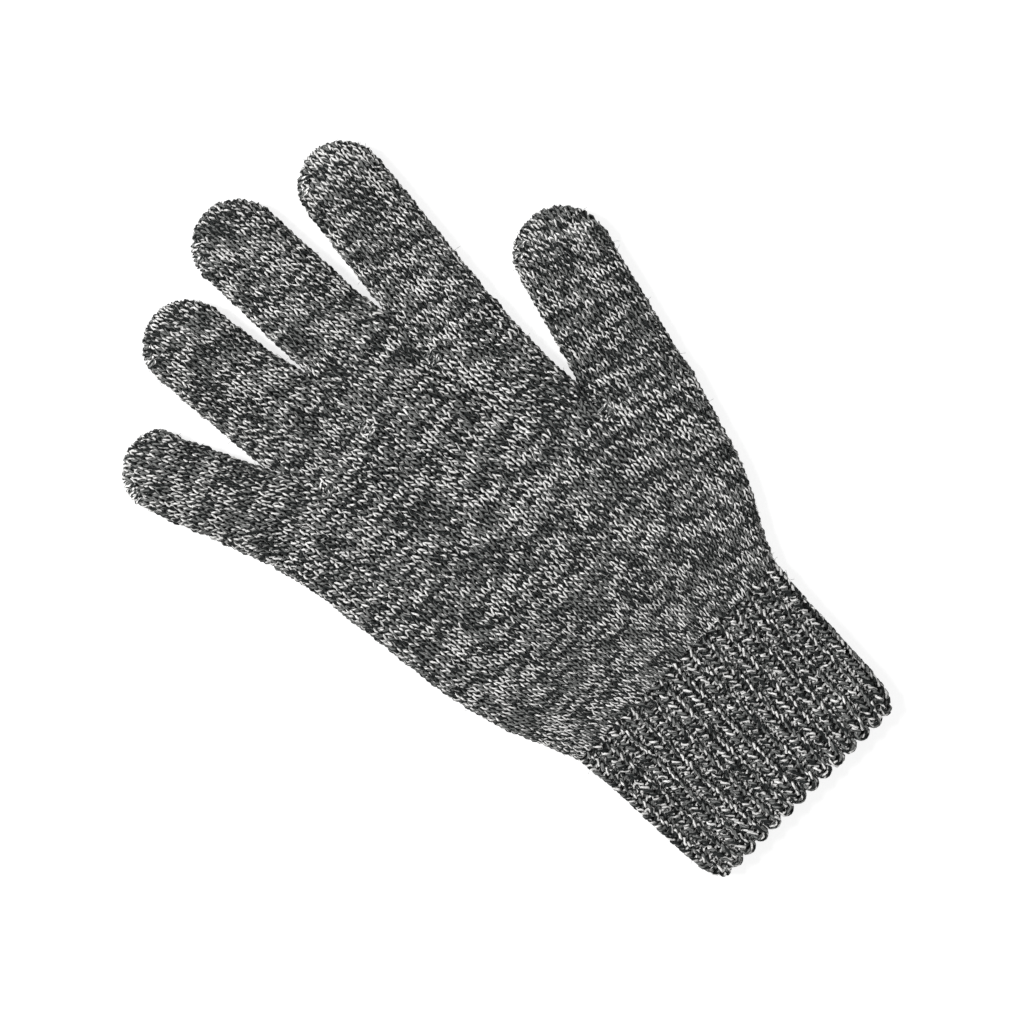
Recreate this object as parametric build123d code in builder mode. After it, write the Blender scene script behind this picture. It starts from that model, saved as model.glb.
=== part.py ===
"""A seamless machine-knit glove, laid flat with its palm side up.

The origin is the middle of the hand's resting face at the wrist line. +Y runs to the
fingertips, +X towards the thumb and +Z out of the palm. Sizes are in millimetres.

The glove is a set of flat knitted tubes. The hand is one tube with a stub for each finger; each
finger goes on as a lower tube and an end tube, and the rib cuff and its cast-on edge follow the
wrist. Every fold line is a hinge at the palm-side surface, so the tubes close towards the palm.
"""
import os
from dataclasses import dataclass
from math import atan2, cos, degrees, radians, sin

from build123d import *

os.makedirs("parts", exist_ok=True)

# The knitted tube laid flat
THICK = 9.0  # palm side to back
WALL = 2.0  # one layer of jersey
SIDE_WALL = 2.6  # the hand's folded sides, where the jersey turns round
ROUND = 4.2  # rounding of the folded side edges
CAVITY_ROUND = 2.0  # the same inside
FOLD_GAP = 0.2  # half the gap at a fold line
WRIST_OPENING = 38.0  # half the width of the hollow at the wrist
OPENING_LENGTH = 16.0  # how far that hollow runs, half of it each side of Y = 0
WRIST_FOLD = -3.0  # Y of the fold line between hand and cuff
KNUCKLE_LINE = 124.0  # Y of the fold line at the base of the index, middle and ring fingers

# Crotches
SLOT = 0.6  # width of the crease between two touching finger tubes
ROOM_WIDTH = 6.0  # space beside the ring finger's root for the little finger to fold
WEB = 3.8  # both tube walls and the crease between them
HAND_WEB = 3.0  # the same at a join, inside the hand
FAR_SIDE = 14.0  # how far past a crease a finger is trimmed
JOIN_RADIUS = 1.2  # the darned loops in a crotch
JOIN_FIT = 0.05  # play round a darn or a tip closure
JOIN_ROUND = 0.72  # rounding of a darn's ends
JOIN_INSET = 0.7  # how far a darn stops short of the surfaces

# Closing loops at a fingertip
CLOSURE_RADIUS = 1.0
CLOSURE_LENGTH = 7.0
BEAD_ROUND = 0.95  # rounding of the bead's ends, as a share of its radius
CLOSURE_ANGLE = 140.0  # where on the tip, from +X

# Rib cuff
CUFF_THICK = 9.6
CUFF_WALL = 2.3
CUFF_SIDE_WALL = 3.0
CUFF_ROUND = 4.4
CUFF_LENGTH = 58.5
EDGE_LENGTH = 4.0
EDGE_WIDTH = 77.0
EDGE_SHIFT = -0.4  # the cuff's middle, off the wrist's
RIB_PITCH = 5.2
RIB_COUNT = 15
GROOVE_RADIUS = 1.6
GROOVE_DEPTH = 0.7
GROOVE_TOP = 1.0  # Y where the grooves start, past the fold line
EDGE_ROUND = 0.9


@dataclass
class Finger:
    """A tapered tube: the circles at its two ends in plan, and its two fold lines."""

    name: str
    base: Vector  # centre of the base circle, inside the palm
    base_radius: float
    tip: Vector  # centre of the round tip
    tip_radius: float
    knuckle: Vector  # a point on the lower fold line
    middle: Vector  # a point on the upper fold line
    heading: Vector  # level direction across the fold lines, towards the tip


def along(base, tip, distance):
    """The point this far from base towards tip."""
    return base + (tip - base).normalized() * distance


def straight_finger(name, base, base_radius, tip, tip_radius, middle_y):
    """A finger whose fold lines run straight across the glove."""
    knuckle = Vector(base.X, KNUCKLE_LINE)
    middle = Vector(base.X, middle_y)
    return Finger(name, base, base_radius, tip, tip_radius, knuckle, middle, Vector(0, 1))


def slanted_finger(name, base, base_radius, tip, tip_radius, knuckle, middle):
    """A finger whose fold lines run square to its own length, at these distances along it."""
    heading = (tip - base).normalized()
    knuckle_point = along(base, tip, knuckle)
    middle_point = along(base, tip, middle)
    return Finger(name, base, base_radius, tip, tip_radius, knuckle_point, middle_point, heading)


INDEX = straight_finger("index_finger", Vector(22.7, 106), 14.3, Vector(29.7, 168.9), 13.6, 154)
MIDDLE = straight_finger("middle_finger", Vector(-2.6, 106), 14.6, Vector(-5.2, 178.6), 13.9, 157)
RING = straight_finger("ring_finger", Vector(-30.9, 106), 14.3, Vector(-37, 167.8), 13.8, 153)
LITTLE = slanted_finger("little_finger", Vector(-52.3, 104.3), 13.4, Vector(-68.6, 145.8), 13.1, 10.5, 31)
THUMB = slanted_finger("thumb", Vector(48, 55.5), 15.5, Vector(61.7, 107.6), 14.9, 22, 44)
FINGERS = [INDEX, MIDDLE, RING, LITTLE, THUMB]

# Each crease between two tubes runs from its join to where the tubes part
CREASES = {
    "index_middle_join": (Vector(11.9, 112.6), Vector(11.6, 138), [INDEX, MIDDLE]),
    "middle_ring_join": (Vector(-16.9, 111.6), Vector(-18.7, 138), [MIDDLE, RING]),
    "ring_little_join": (Vector(-38.1, 107.1), Vector(-48.9, 132), [RING, LITTLE]),
    "thumb_join": (Vector(37.4, 64.4), Vector(37.4, 82), [THUMB]),
}

# Side lines of the hand and the cuff, wrist at Y = 0
HAND_LEFT = [(-42, -6), (-50, 15.7), (-56.7, 39.3), (-59.6, 63), (-62.4, 86.6), (-64.6, 98)]
HAND_RIGHT = [(41.3, -6), (51, 15.7), (56.5, 27.5), (59.4, 39.3), (61.6, 50)]
INDEX_SIDE = [(37, 66), (36.6, 82), (36.8, 98), (37.4, 112)]
CROTCH_LINE = [(-58, 103), (-38.1, 107.8), (-16.9, 112.4), (11.9, 113.4)]
CUFF_LEFT = [(-43, 10), (-41.8, -6), (-40.6, -22), (-40.2, -38), (-38, -70)]
CUFF_RIGHT = [(42.3, 10), (41, -6), (39.8, -22), (39.3, -38), (37.1, -70)]


def hand_outline(inset):
    """The hand in plan without its fingers, drawn in by inset at its sides and its crotches."""
    left = [(x + inset, y) for x, y in HAND_LEFT]
    right = [(x - inset, y) for x, y in HAND_RIGHT]
    index_side = [(x - inset, y) for x, y in INDEX_SIDE]
    crotches = [(x, y - inset) for x, y in CROTCH_LINE]
    with BuildSketch() as outline:
        with BuildLine():
            Spline(*left)
            Polyline(left[-1], *crotches, index_side[-1])
            Spline(*index_side)
            Line(index_side[0], right[-1])
            Spline(*right)
            Line(right[0], left[0])
        make_face()
    return outline.sketch


def cuff_outline(inset):
    """The cuff in plan, drawn in by inset at its sides and running past its ends."""
    with BuildSketch() as outline:
        with BuildLine():
            left = Spline(*[(x + inset, y) for x, y in CUFF_LEFT])
            right = Spline(*[(x - inset, y) for x, y in CUFF_RIGHT])
            Line(left @ 0, right @ 0)
            Line(left @ 1, right @ 1)
        make_face()
    return outline.sketch


def finger_outline(finger, inset):
    """A finger in plan: the hull of its two end circles, drawn in by inset."""
    with BuildSketch() as outline:
        with Locations(finger.base):
            Circle(finger.base_radius - inset)
        with Locations(finger.tip):
            Circle(finger.tip_radius - inset)
        make_hull()
    return outline.sketch


def pillow(outline, low, high, radius):
    """An outline raised from low to high, with its upper and lower edges rounded."""
    with BuildPart() as solid:
        with BuildSketch(Plane.XY.offset(low)):
            add(outline)
        extrude(amount=high - low)
        rims = solid.edges().group_by(Axis.Z)
        fillet(rims[0] + rims[-1], radius)
    return solid.part


def strip(start, end, width, lead):
    """A level strip from start to end, going lead further back at its start."""
    run = end - start
    turn = degrees(atan2(run.Y, run.X))
    middle = (start + end - run.normalized() * lead) / 2
    with BuildSketch() as band:
        with Locations(Location(middle, (0, 0, turn))):
            Rectangle(run.length + lead, width)
    return band.sketch


def upright_bar(outline, low=0.0, high=THICK):
    """A plain upright solid on an outline."""
    with BuildPart() as bar:
        with BuildSketch(Plane.XY.offset(low)):
            add(outline)
        extrude(amount=high - low)
    return bar.part


def far_sides(finger, margin, lead):
    """Upright bars over all that lies past a finger's creases, from margin on its own side."""
    bars = []
    for start, end, neighbours in CREASES.values():
        if finger not in neighbours:
            continue
        run = end - start
        across = Vector(-run.Y, run.X).normalized()
        if (finger.tip - start).dot(across) > 0:
            across = across * -1
        shift = across * (FAR_SIDE - margin) / 2
        bars.append(upright_bar(strip(start + shift, end + shift, FAR_SIDE + margin, lead)))
    return bars


def finger_cavity(finger):
    """The hollow of a finger, kept off the creases beside it."""
    with BuildPart() as cavity:
        add(pillow(finger_outline(finger, WALL), WALL, THICK - WALL, CAVITY_ROUND))
        add(far_sides(finger, WEB / 2, WALL), mode=Mode.SUBTRACT)
    return cavity.part


def finger_body(finger):
    """A finger in the solid, trimmed at its creases, from inside the palm to its tip."""
    with BuildPart() as body:
        add(pillow(finger_outline(finger, 0), 0, THICK, ROUND))
        add(far_sides(finger, SLOT / 2, 0), mode=Mode.SUBTRACT)
    return body.part


def finger_tube(finger):
    """A whole finger, hollow and closed at its tip."""
    with BuildPart() as tube:
        add(finger_body(finger))
        add(finger_cavity(finger), mode=Mode.SUBTRACT)
    return tube.part


def fold_plane(point, heading, shift):
    """The upright plane across a tube at a fold line, moved along it by shift."""
    return Plane(origin=point + heading * shift, z_dir=heading)


def finger_stub(finger):
    """The root of a finger, solid, up to its lower fold line."""
    with BuildPart() as stub:
        add(pillow(finger_outline(finger, 0), 0, THICK, ROUND))
        split(bisect_by=fold_plane(finger.knuckle, finger.heading, -FOLD_GAP), keep=Keep.BOTTOM)
    return stub.part


def little_finger_room():
    """The space past the little finger's fold line, clear of the ring finger's root."""
    root, apex, _ = CREASES["ring_little_join"]
    fold_distance = (LITTLE.knuckle - root).dot(LITTLE.heading)
    start = along(root, apex, fold_distance)
    run = (apex - root).normalized()
    shift = Vector(-run.Y, run.X) * (ROOM_WIDTH / 2)
    return upright_bar(strip(start + shift, apex + shift, ROOM_WIDTH, 0))


def hand_cavity():
    """The hollow of the hand, open at the wrist and kept off the creases."""
    with BuildPart() as cavity:
        add(upright_bar(hand_outline(SIDE_WALL), WALL, THICK - WALL))
        with BuildSketch(Plane.XY.offset(WALL)):
            Rectangle(2 * WRIST_OPENING, OPENING_LENGTH)
        extrude(amount=THICK - 2 * WALL)
        for start, end, _ in CREASES.values():
            add(upright_bar(strip(start, end, HAND_WEB, HAND_WEB)), mode=Mode.SUBTRACT)
    return cavity.part


def cuff_tube(top, bottom):
    """The plain tube of the cuff between two Y levels."""
    with BuildPart() as tube:
        add(pillow(cuff_outline(0), 0, CUFF_THICK, CUFF_ROUND))
        add(upright_bar(cuff_outline(CUFF_SIDE_WALL), CUFF_WALL, CUFF_THICK - CUFF_WALL), mode=Mode.SUBTRACT)
        split(bisect_by=Plane.XZ.offset(-top), keep=Keep.TOP)
        split(bisect_by=Plane.XZ.offset(-bottom), keep=Keep.BOTTOM)
    return tube.part


def closure_place(finger):
    """Where the closing loops lie on a fingertip, and along which way they run."""
    turn = radians(CLOSURE_ANGLE)
    outward = Vector(cos(turn), sin(turn))
    centre = finger.tip + outward * (finger.tip_radius - CLOSURE_RADIUS / 2) + Vector(0, 0, THICK / 2)
    return Plane(origin=centre, x_dir=outward, z_dir=Vector(-outward.Y, outward.X))


def closure_bead(finger, growth):
    """The drawn-up loops of a fingertip as a short round-ended bead."""
    radius = CLOSURE_RADIUS + growth
    with BuildPart(closure_place(finger)) as bead:
        Cylinder(radius, CLOSURE_LENGTH + 2 * growth)
        fillet(bead.edges().filter_by(GeomType.CIRCLE), radius * BEAD_ROUND)
    return bead.part


def join_column(start, growth):
    """The darned loops at the root of a crease as an upright round-ended column."""
    with BuildPart(Plane(origin=start + Vector(0, 0, THICK / 2))) as column:
        Cylinder(JOIN_RADIUS + growth, THICK - 2 * JOIN_INSET + 2 * growth)
        fillet(column.edges().filter_by(GeomType.CIRCLE), JOIN_ROUND)
    return column.part


def keep(part, name):
    """Label a finished piece and write it."""
    part.label = name
    export_step(part, f"parts/{name}.step")


# Hand: the five-finger section with the stubs of the four fingers and the thumb
with BuildPart() as palm:
    add(pillow(hand_outline(0), 0, THICK, ROUND))
    for finger in FINGERS:
        add(finger_stub(finger))
    split(bisect_by=Plane.XZ.offset(-WRIST_FOLD - FOLD_GAP), keep=Keep.BOTTOM)
    add(hand_cavity(), mode=Mode.SUBTRACT)
    for finger in FINGERS:
        add(finger_cavity(finger), mode=Mode.SUBTRACT)
    for crease_start, crease_end, _ in CREASES.values():
        add(upright_bar(strip(crease_start, crease_end, SLOT, 0)), mode=Mode.SUBTRACT)
        add(join_column(crease_start, JOIN_FIT), mode=Mode.SUBTRACT)
    add(little_finger_room(), mode=Mode.SUBTRACT)
keep(palm.part, "palm")

# Joins: the darned loops at the root of each crease
for join_name, (crease_start, _, _) in CREASES.items():
    with BuildPart() as join:
        add(join_column(crease_start, 0))
    keep(join.part, join_name)

# Fingers and thumb: a lower tube, an end tube and the closing loops of the tip
for finger in FINGERS:
    with BuildPart() as lower_tube:
        add(finger_tube(finger))
        split(bisect_by=fold_plane(finger.knuckle, finger.heading, FOLD_GAP), keep=Keep.TOP)
        split(bisect_by=fold_plane(finger.middle, finger.heading, -FOLD_GAP), keep=Keep.BOTTOM)
    keep(lower_tube.part, f"{finger.name}_lower")

    with BuildPart() as end_tube:
        add(finger_tube(finger))
        split(bisect_by=fold_plane(finger.middle, finger.heading, FOLD_GAP), keep=Keep.TOP)
        add(closure_bead(finger, JOIN_FIT), mode=Mode.SUBTRACT)
    keep(end_tube.part, f"{finger.name}_end")

    with BuildPart() as closure:
        add(closure_bead(finger, 0))
    keep(closure.part, f"{finger.name}_tip_closure")

# Rib cuff: ribs run along the arm, with a groove between each two on both faces
with BuildPart() as rib_cuff:
    add(cuff_tube(WRIST_FOLD - FOLD_GAP, -(CUFF_LENGTH - EDGE_LENGTH)))
    for level in (GROOVE_DEPTH - GROOVE_RADIUS, CUFF_THICK + GROOVE_RADIUS - GROOVE_DEPTH):
        with BuildSketch(Plane.XZ.offset(-GROOVE_TOP)):
            with Locations((0, level)):
                with GridLocations(RIB_PITCH, 1, RIB_COUNT - 1, 1):
                    Circle(GROOVE_RADIUS)
        extrude(amount=CUFF_LENGTH, mode=Mode.SUBTRACT)
keep(rib_cuff.part, "rib_cuff")

# Cast-on edge: the thicker last courses of the cuff, rolled round at the opening
with BuildPart() as cuff_edge:
    with BuildSketch(Plane.XZ.offset(CUFF_LENGTH - EDGE_LENGTH)):
        with Locations((EDGE_SHIFT, CUFF_THICK / 2)):
            SlotOverall(EDGE_WIDTH, CUFF_THICK)
            SlotOverall(EDGE_WIDTH - 2 * CUFF_SIDE_WALL, CUFF_THICK - 2 * CUFF_WALL, mode=Mode.SUBTRACT)
    extrude(amount=EDGE_LENGTH)
    fillet(cuff_edge.faces().sort_by(Axis.Y)[0].edges(), EDGE_ROUND)
keep(cuff_edge.part, "cuff_edge")
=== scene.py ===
"""The looks of a seamless machine-knit glove in marl yarn, lying flat with its palm side up.

Every stitch is a real loop of yarn. The glove is a set of knitted sheets: each is a table of surface
points over (course, wale), made in millimetres from the glove's own outline, and the loops of yarn
are laid on it row by row, on the palm side and mirrored on the back. A piece rides on its body, but
one that crosses a fold line is left unattached, in the place where it was made.
"""
import math

import bpy
import numpy as np
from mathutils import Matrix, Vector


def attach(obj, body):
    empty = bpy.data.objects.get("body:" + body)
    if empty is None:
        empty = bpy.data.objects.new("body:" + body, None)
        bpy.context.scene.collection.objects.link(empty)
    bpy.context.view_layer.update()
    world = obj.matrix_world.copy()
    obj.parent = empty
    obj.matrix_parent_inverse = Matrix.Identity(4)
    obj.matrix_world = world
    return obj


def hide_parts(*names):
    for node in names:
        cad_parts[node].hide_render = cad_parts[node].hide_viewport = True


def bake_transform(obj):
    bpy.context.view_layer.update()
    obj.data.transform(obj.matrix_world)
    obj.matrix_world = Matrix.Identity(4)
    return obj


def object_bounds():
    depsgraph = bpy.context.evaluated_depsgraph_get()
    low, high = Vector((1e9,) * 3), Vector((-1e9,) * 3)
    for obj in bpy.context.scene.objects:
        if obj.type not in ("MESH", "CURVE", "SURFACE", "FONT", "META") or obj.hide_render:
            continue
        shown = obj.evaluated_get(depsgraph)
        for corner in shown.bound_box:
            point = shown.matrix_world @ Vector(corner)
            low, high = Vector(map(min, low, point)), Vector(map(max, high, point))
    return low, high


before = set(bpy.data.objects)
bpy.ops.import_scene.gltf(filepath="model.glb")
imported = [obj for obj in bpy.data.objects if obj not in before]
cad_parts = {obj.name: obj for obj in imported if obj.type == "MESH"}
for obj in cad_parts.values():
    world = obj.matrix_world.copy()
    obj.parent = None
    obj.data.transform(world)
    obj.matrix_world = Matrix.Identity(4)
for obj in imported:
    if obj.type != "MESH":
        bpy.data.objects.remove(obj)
cad_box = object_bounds()

MM = 0.001
rng = np.random.default_rng(7)

# ---------------------------------------------------------------- sizes, in millimetres
HALF = 3.45  # from the middle layer to the middle of the yarn
INSET = 1.0  # from the glove's outline to the middle of the yarn
MIDDLE = 4.5  # height of the middle layer over the floor
CUFF_LIFT = 0.3  # how much higher the middle layer lies in the cuff
CUFF_LIFT_RUN = 8  # length from the wrist over which it rises
EDGE_REACH = 4.4  # how far in from a folded side the sheets start to curve down

# Points in the sheets' tables: across a sheet, and along the lines that they are made from
COLUMNS = 141
ROW_POINTS = 700
HALF_ROW_POINTS = 260
BORDER_POINTS = 200
CUFF_POINTS = 120
BEND_POINTS = 60
SHADE_SHEET_STEP = 4  # columns of the table to one face of the sheet of painted shade under the yarn

# The jersey's loops
YARN = 0.5  # radius of the yarn
YARN_SIDES = 6
LOOP_POINTS = 12  # spans of yarn in one stitch
LOOP_LENGTH = 8.0  # yarn in one stitch
LOOP_LEAN = 1.45  # how far a loop's sides swing out, in radians of its wale
LOOP_TALL = 0.85  # half the height of a loop, in courses
LOOP_DEEP = 0.6  # how far the legs stand out in front of the heads
COURSE = 2.0  # height of one stitch
WALE = 2.62  # width of one stitch
THINNEST = 0.74  # share of the yarn's radius that is left where the wales are narrow
YARN_END = 0.4  # share of it that is left at a cut end
SHIFT_FADE = 9  # courses over which a sheet's wales come back from their shift
SHADE_SHEET_DEPTH = 1.0  # depth of a sheet under the yarn, coloured with painted shade, that stands for the inside of the fabric

# How unevenly the loops lie: along the wales and the courses, in depth, and in the yarn's radius
WANDER_WALE = 0.035
WANDER_COURSE = 0.055
WANDER_DEEP = 0.1
WANDER_OUT = 0.05
WANDER_RADIUS = 0.06
# At a folded side whole rows stand out too, by a mean and a spread, and single loops by a spread
SIDE_OUT = (0.12, 0.2)
SIDE_WANDER = 0.16

# The rib and the cuff's edge
RIB_COURSE = 1.84
RIB_RISE = 0.5  # how far the raised wales stand out
RIB_SPREAD = 0.85  # how much wider the raised wales are
RIB_STOUT = 1.12  # how much thicker the yarn is
SCALLOP = 1.7  # how far each rib's end bulges past the furrow beside it
SCALLOP_FOOT = 1.0  # how far the furrows stop short of the cuff's edge
SCALLOP_COURSES = 4  # courses over which the bulges fade
CURL = 1.1  # radius of the rolled edge of the cuff
CURL_STEPS = 4  # lines of the table to one course of the rolled edge
WRAPS = (-0.9, -0.3, 0.3, 0.9)  # where yarn lies along the edge, in radians round the roll from its end
WRAP_SWAY = 0.12  # how far it sways from there
WRAP_OUT = 0.15  # how far it stands out from the sheet, on average
WRAP_RISE = 1.15  # how much further it stands out over a raised wale
WRAP_SHADE = 0.62  # painted shade: how dark it is coloured in the furrows

# Loose fibres
HAIRS = 0.3  # fibres per stitch
HAIR = 0.05  # radius
HAIR_SIDES = 3
HAIR_POINTS = 5
HAIR_REACH = (0.8, 2.6)
HAIR_ROOT = 0.9  # how far out from the sheet a fibre starts, as a share of the loops' depth
HAIR_RISE = 0.9  # how much it heads away from the fabric
HAIR_BEND = 0.35  # how much it curves, and comes back down
HAIR_TONES = (0.6, 1.3)
HAIR_TOP = 2.0  # how far fibres may stand out over the yarn, on the palm side

# Painted shade, and the yarn's own tone
DEEP_SHADE = 0.12  # painted shade: how dark the yarn is coloured where it lies deepest, in the jersey and in the rib
RIB_SHADE = 0.35
SHADE_RISE = 1.3  # how soon the painted shade lifts above that
UNDER_SHADE = 0.15  # painted shade: how dark the underside of the yarn is coloured
PAINTED_SHADE_UNDER_YARN = 0.06  # painted shade: how dark the sheet under the yarn is coloured, in the jersey and in the rib
RIB_PAINTED_SHADE_UNDER_YARN = 0.25
STREAK = 7.0  # stitches over which a course turns lighter or darker
STREAK_TONE = 0.07  # by how much
STREAK_LIMITS = (0.5, 1.4)
STRAND_TONE = 1.35  # how light the closing yarn is
YARN_RUN = 4000  # each row of yarn starts somewhere on a yarn of this length

# The closing yarn at the fingertips and in the crotches
TIP_LOOPS = 5  # loops at each fingertip
TIP_ANGLE = 148  # where on the tip they are, in degrees
TIP_PITCH = 1.35
TIP_BEND = 1.15  # half the turn of a loop over the rim, in radians
TIP_POINTS = 7
TIP_SCATTER = 0.12  # how unevenly the loops are turned, how far they reach and stand out, and how they slant
TIP_REACH = (0.5, 1.0)
TIP_RISE = (0.6, 0.85)
TIP_SLANT = 0.9
TIP_STRAND = 0.95  # share of the yarn's radius
CROTCH_LOOPS = 4  # loops on each side of a crotch
CROTCH_PITCH = 1.25
CROTCH_START = 1.6  # how far below the knot they start
CROTCH_RISE = 0.95  # how far their middles stand out
CROTCH_DIP = 1.25  # how far their ends dip from there
CROTCH_SCATTER = 0.25  # how unevenly they lie, how far they reach to each side, and how they slant
CROTCH_REACH = (1.7, 2.6)
CROTCH_SLANT = 0.5
CROTCH_STRAND = 0.85  # share of the yarn's radius

# ---------------------------------------------------------------- the glove's outline and stitch counts
HAND_WALES = 50
KNUCKLE_WALES = 38
CUFF_WALES = 28
HAND_COURSES = 34
KNUCKLE_COURSES = 23
CUFF_COURSES = 29
EDGE_COURSES = 3
WRIST_HAND_COURSES = 7  # courses of the hand and of the cuff that belong to the wrist
WRIST_CUFF_COURSES = 8

WRIST_FOLD = -3.0
WRIST_BEND = (11.0, -17.0)  # from where to where the wrist bends
KNOT_INDEX = (11.9, 112.6)
KNOT_RING = (-16.9, 111.6)
KNOT_LITTLE = (-38.1, 107.1)
KNOT_THUMB = (37.4, 64.4)
# The crease between two fingers runs from the knot to the crotch, and past it they part over a length
CREASE_INDEX = (KNOT_INDEX, (12.0, 132.0), 10)
CREASE_RING = (KNOT_RING, (-17.8, 133.2), 18)
CREASE_LITTLE = (KNOT_LITTLE, (-42.8, 117.1), 11)
CREASE_THUMB = (KNOT_THUMB, (37.4, 74.5), 7)
CREASE_INSET = 4  # length past a crotch over which the outline's inset sets in
ROW_SLACK = 0.15  # how far past a side a row is still fabric, and how far past the tip
TIP_SLACK = 0.5
FOOT_TURN = 26  # length over which a finger's rows turn from its foot line to square
# The outline, in runs from the wrist outwards
HAND_LEFT = [(-42.3, WRIST_FOLD), (-46.5, 7), (-50.2, 15.7), (-54, 27.5), (-56.7, 39.3), (-58.2, 51),
             (-59.6, 63)]
HAND_RIGHT = [(41.6, WRIST_FOLD), (46, 7), (51, 15.7), (56.3, 27.5), (59.8, 39.3), (62.8, 49.5),
              (65.4, 57.6)]
KNUCKLE_LEFT = [(-59.6, 63), (-61.2, 75), (-62.4, 86.6), (-64.4, 96), (-66.2, 102.3)]
KNUCKLE_RIGHT = [(38.4, 64.4), (37.8, 72), (37.2, 81), (36.8, 98), (38.0, 113)]
THUMB_LINE = [(-18, 64.4), (16, 65.2), KNOT_THUMB, (53, 61.2)]
CUFF_LEFT = [(-42.3, WRIST_FOLD), (-41.2, -14), (-40.4, -26), (-40.1, -38), (-39.4, -48), (-38.6, -53),
             (-37.4, -56.0)]
CUFF_RIGHT = [(41.6, WRIST_FOLD), (40.4, -14), (39.8, -26), (39.3, -38), (38.6, -48), (37.7, -53),
              (36.4, -56.0)]


class Finger:
    """One finger's tube.

    It has an axis from base to tip with a radius at each, a foot line on the hand, and the creases that it
    shares with its neighbours. Along the axis are the folds, and the split between its base and top pieces.
    """

    def __init__(self, name, base, tip, radii, foot, split, folds, wales, left=None, right=None):
        self.name, self.body, self.wales = name, name.removesuffix("_finger"), wales
        self.base, self.tip = np.array(base, float), np.array(tip, float)
        self.length = np.linalg.norm(self.tip - self.base)
        self.along = (self.tip - self.base) / self.length
        self.across = np.array([self.along[1], -self.along[0]])
        self.radii, self.foot, self.split, self.folds = radii, foot, split, folds
        self.left, self.right = left, right

    def place(self, s):
        """The point s along the axis."""
        return self.base + self.along * s

    def half_width(self, s):
        """Half the tube's width to the middle of the yarn, s along the axis."""
        return np.interp(s, [0, self.length], self.radii) - INSET


FINGERS = [
    Finger("index_finger", base=(22.7, 106), tip=(29.7, 168.9), radii=(14.3, 13.6),
           foot=(KNOT_INDEX, (37.2, 113.0)), split=34, folds=(18.2, 48.3), wales=13, left=CREASE_INDEX),
    Finger("middle_finger", base=(-2.6, 106), tip=(-5.2, 178.6), radii=(14.6, 13.9),
           foot=(KNOT_RING, KNOT_INDEX), split=35, folds=(18, 51), wales=13,
           left=CREASE_RING, right=CREASE_INDEX),
    Finger("ring_finger", base=(-30.9, 106), tip=(-37.0, 167.8), radii=(14.3, 13.8),
           foot=(KNOT_LITTLE, KNOT_RING), split=33, folds=(18.1, 47.2), wales=13,
           left=CREASE_LITTLE, right=CREASE_RING),
    Finger("little_finger", base=(-52.3, 104.3), tip=(-68.6, 145.8), radii=(13.4, 13.1),
           foot=((-65.4, 102.3), KNOT_LITTLE), split=21, folds=(10.5, 31), wales=12, right=CREASE_LITTLE),
    Finger("thumb", base=(48, 55.5), tip=(61.7, 107.6), radii=(15.5, 14.9),
           foot=(KNOT_THUMB, (64.4, 57.6)), split=33, folds=(22, 44), wales=14, left=CREASE_THUMB),
]


# ---------------------------------------------------------------- lines and sheets
def smooth(x):
    """Ease from 0 to 1."""
    x = np.clip(x, 0, 1)
    return x * x * (3 - 2 * x)


def unit(v):
    """Vectors scaled to length 1."""
    return v / np.maximum(np.linalg.norm(v, axis=-1, keepdims=True), 1e-9)


def curve_through(points, samples):
    """Points evenly spaced along a smooth curve through a few points."""
    points = np.array(points, float)
    steps = run_of(points)
    slopes = np.gradient(points, steps, axis=0)
    at = np.linspace(0, steps[-1], samples)
    k = np.clip(np.searchsorted(steps, at, side="right") - 1, 0, len(steps) - 2)
    span = (steps[k + 1] - steps[k])[:, None]
    f = (at - steps[k])[:, None] / span
    return ((2 * f**3 - 3 * f**2 + 1) * points[k] + (f**3 - 2 * f**2 + f) * span * slopes[k]
            + (3 * f**2 - 2 * f**3) * points[k + 1] + (f**3 - f**2) * span * slopes[k + 1])


def shifted(points, by):
    """A border line moved sideways."""
    return [(x + by, y) for x, y in points]


def run_of(points):
    """Length along a line of points, at each point."""
    return np.r_[0, np.cumsum(np.linalg.norm(np.diff(points, axis=0), axis=1))]


def coons(bottom, top, left, right):
    """A plan patch between four border lines; its rows run from left to right."""
    v = np.linspace(0, 1, len(left))[:, None, None]
    q = np.linspace(0, 1, len(bottom))[None, :, None]
    ruled = (1 - v) * bottom[None] + v * top[None]
    fix_left = left[:, None] - ((1 - v) * bottom[0] + v * top[0])
    fix_right = right[:, None] - ((1 - v) * bottom[-1] + v * top[-1])
    return ruled + fix_left * (1 - q) + fix_right * q


def edge_height(distance, share):
    """Height of a sheet, from 0 to 1, by its distance from a side that dips by share of the height."""
    d = np.clip(distance / EDGE_REACH, 0, 1)
    return 1 - share * (1 - np.sqrt(np.clip(1 - (1 - d) ** 2, 0, 1)))


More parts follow.
